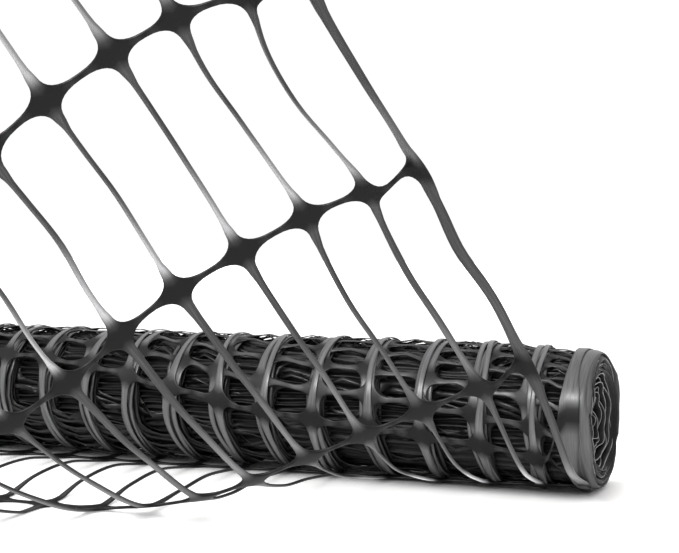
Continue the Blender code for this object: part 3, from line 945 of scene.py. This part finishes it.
def crumpledEdge():
    # edges of the wound net at the ends: satin, with a painted highlight along the tips and painted shade,
    # black, between them
    material, tree, shader = newMaterial("wound black polyethylene, edges")
    tip = addNode(tree, "Attribute", output="Fac", attribute_name="tip")
    place = addNode(tree, "TexCoord", output="Object")
    scale, detail = polyethylene["edgePatches"]
    patches = addNode(tree, "TexNoise", {"Vector": place, "Scale": scale, "Detail": detail})
    paintedHighlight = {0: linearColour(polyethylene["tipHighlight"])[:3], "Scale": patches}
    paintedHighlight = addNode(tree, "VectorMath", paintedHighlight, operation="SCALE")
    colour = {0: tip, 6: linearColour(polyethylene["deepShade"]), 7: paintedHighlight}
    colour = addNode(tree, "Mix", colour, 2, data_type="RGBA")
    rough = polyethylene["edgeRoughness"]
    setInputs(tree, shader, {"Base Color": colour, "Roughness": rough, "IOR": polyethylene["ior"]})
    return material


looseMaterial = blackPolyethylene("stretched black polyethylene net", looseLook)
woundMaterial = blackPolyethylene("wound black polyethylene net", woundLook)
edgeMaterial = crumpledEdge()
for thing, material, slotName in (
    (looseNet, looseMaterial, "net"),
    (outerTurns, woundMaterial, "wound_net"),
    (middleTurns, woundMaterial, "wound_net"),
    (innerTurns, woundMaterial, "wound_net"),
    (woundCore, deepNet(), "wound_net"),
    (rightCoil, edgeMaterial, "wound_net"),
    (leftCoil, edgeMaterial, "wound_net"),
):
    thing.data.materials.append(material)
    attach(thing, "root")
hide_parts("loose_end")
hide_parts("roll")
print("materials")

stageValues = {
    "floorHalf": 6.0,
    "floorColour": "#f6f5f4",
    "floorRoughness": 0.85,
    "glowAxes": (("X", 0.48), ("Y", 0.0)),  # it changes away from the roll's half-length and its axis
    # painted light, strongest along the roll, where it fills the shadow, weak around it, and strong again far
    # away
    "tableGlow": ((0.015, 0.055, 0.47), (0.08, 0.45, -0.24), (1.2, 3.0, 0.5)),
    "worldStrength": 1.02,
    "cameraPlace": (0.6494, -0.9224, 0.2004),
    "cameraPitch": 0.040,  # radians below the horizon
    "cameraYaw": 0.372,
    "focalPixels": 1200,
    "imageWidth": 679,
    "sensorWidth": 36.0,
    "gamma": 0.78,  # deepens the blacks, as the photo's finish does
}
# The key only draws highlights, so that it throws no hard shadows of the net on the floor.
keySoftbox = {"place": (0.05, -1.75, 1.55), "aim": (0.05, 0.0, 0.05), "size": (0.7, 0.4), "energy": 42}
topSoftbox = {"place": (0.1, 0.25, 2.0), "aim": (0.1, 0.05, 0.0), "size": (2.6, 1.8), "energy": 3}


def glowingTable():
    # white acrylic table that glows with painted light, so that shadows on it stay pale
    material, tree, shader = newMaterial("matt white acrylic table, glowing")
    place = addNode(tree, "TexCoord", output="Object")
    gap = 0.0
    for axis, reach in stageValues["glowAxes"]:
        far = addNode(tree, "SeparateXYZ", {0: place}, axis)
        far = addNode(tree, "Math", {0: far}, operation="ABSOLUTE")
        far = addNode(tree, "Math", {0: far, 1: reach}, operation="SUBTRACT")
        gap = addNode(tree, "Math", {0: gap, 1: far}, operation="MAXIMUM")
    glow = 0.0
    for start, full, change in stageValues["tableGlow"]:
        inputs = {"Value": gap, "From Min": start, "From Max": full, "To Max": change}
        step = addNode(tree, "MapRange", inputs, interpolation_type="SMOOTHSTEP")
        glow = addNode(tree, "Math", {0: glow, 1: step}, operation="ADD")
    colour, rough = linearColour(stageValues["floorColour"]), stageValues["floorRoughness"]
    setInputs(tree, shader, {"Base Color": colour, "Roughness": rough})
    setInputs(tree, shader, {"Emission Color": (1, 1, 1, 1), "Emission Strength": glow})
    return material


def makeStage():
    half = stageValues["floorHalf"]
    corners = [(-half, -half, 0), (half, -half, 0), (half, half, 0), (-half, half, 0)]
    floor = meshObject("studioFloor", corners, [np.array([[0, 1, 2, 3]])])
    floor.data.materials.append(glowingTable())
    world = bpy.data.worlds.new("studio")
    world.use_nodes = True
    background = {"Color": (1, 1, 1, 1), "Strength": stageValues["worldStrength"]}
    setInputs(world.node_tree, world.node_tree.nodes["Background"], background)
    bpy.context.scene.world = world
    return floor


def addLight(name, light, glossOnly=False):
    data = bpy.data.lights.new(name, "AREA")
    data.shape = "RECTANGLE"
    data.size, data.size_y = light["size"]
    data.energy = light["energy"]
    thing = bpy.data.objects.new(name, data)
    thing.location = light["place"]
    thing.visible_diffuse = not glossOnly
    x, y, z = [a - b for a, b in zip(light["place"], light["aim"])]
    thing.rotation_euler = (math.atan2(math.hypot(x, y), z), 0, math.atan2(x, -y))
    bpy.context.scene.collection.objects.link(thing)


def makeCamera():
    stage = stageValues
    data = bpy.data.cameras.new("camera")
    data.sensor_width = stage["sensorWidth"]
    data.lens = stage["sensorWidth"] * stage["focalPixels"] / stage["imageWidth"]
    camera = bpy.data.objects.new("camera", data)
    camera.location = stage["cameraPlace"]
    camera.rotation_euler = Euler((math.pi / 2 - stage["cameraPitch"], 0, stage["cameraYaw"]))
    bpy.context.scene.collection.objects.link(camera)
    bpy.context.scene.camera = camera


floor = makeStage()
addLight("keySoftbox", keySoftbox, glossOnly=True)
addLight("topSoftbox", topSoftbox)
makeCamera()
bpy.context.scene.view_settings.view_transform = "Standard"
bpy.context.scene.view_settings.look = "None"
bpy.context.scene.view_settings.gamma = stageValues["gamma"]
print("stage, lights, camera")
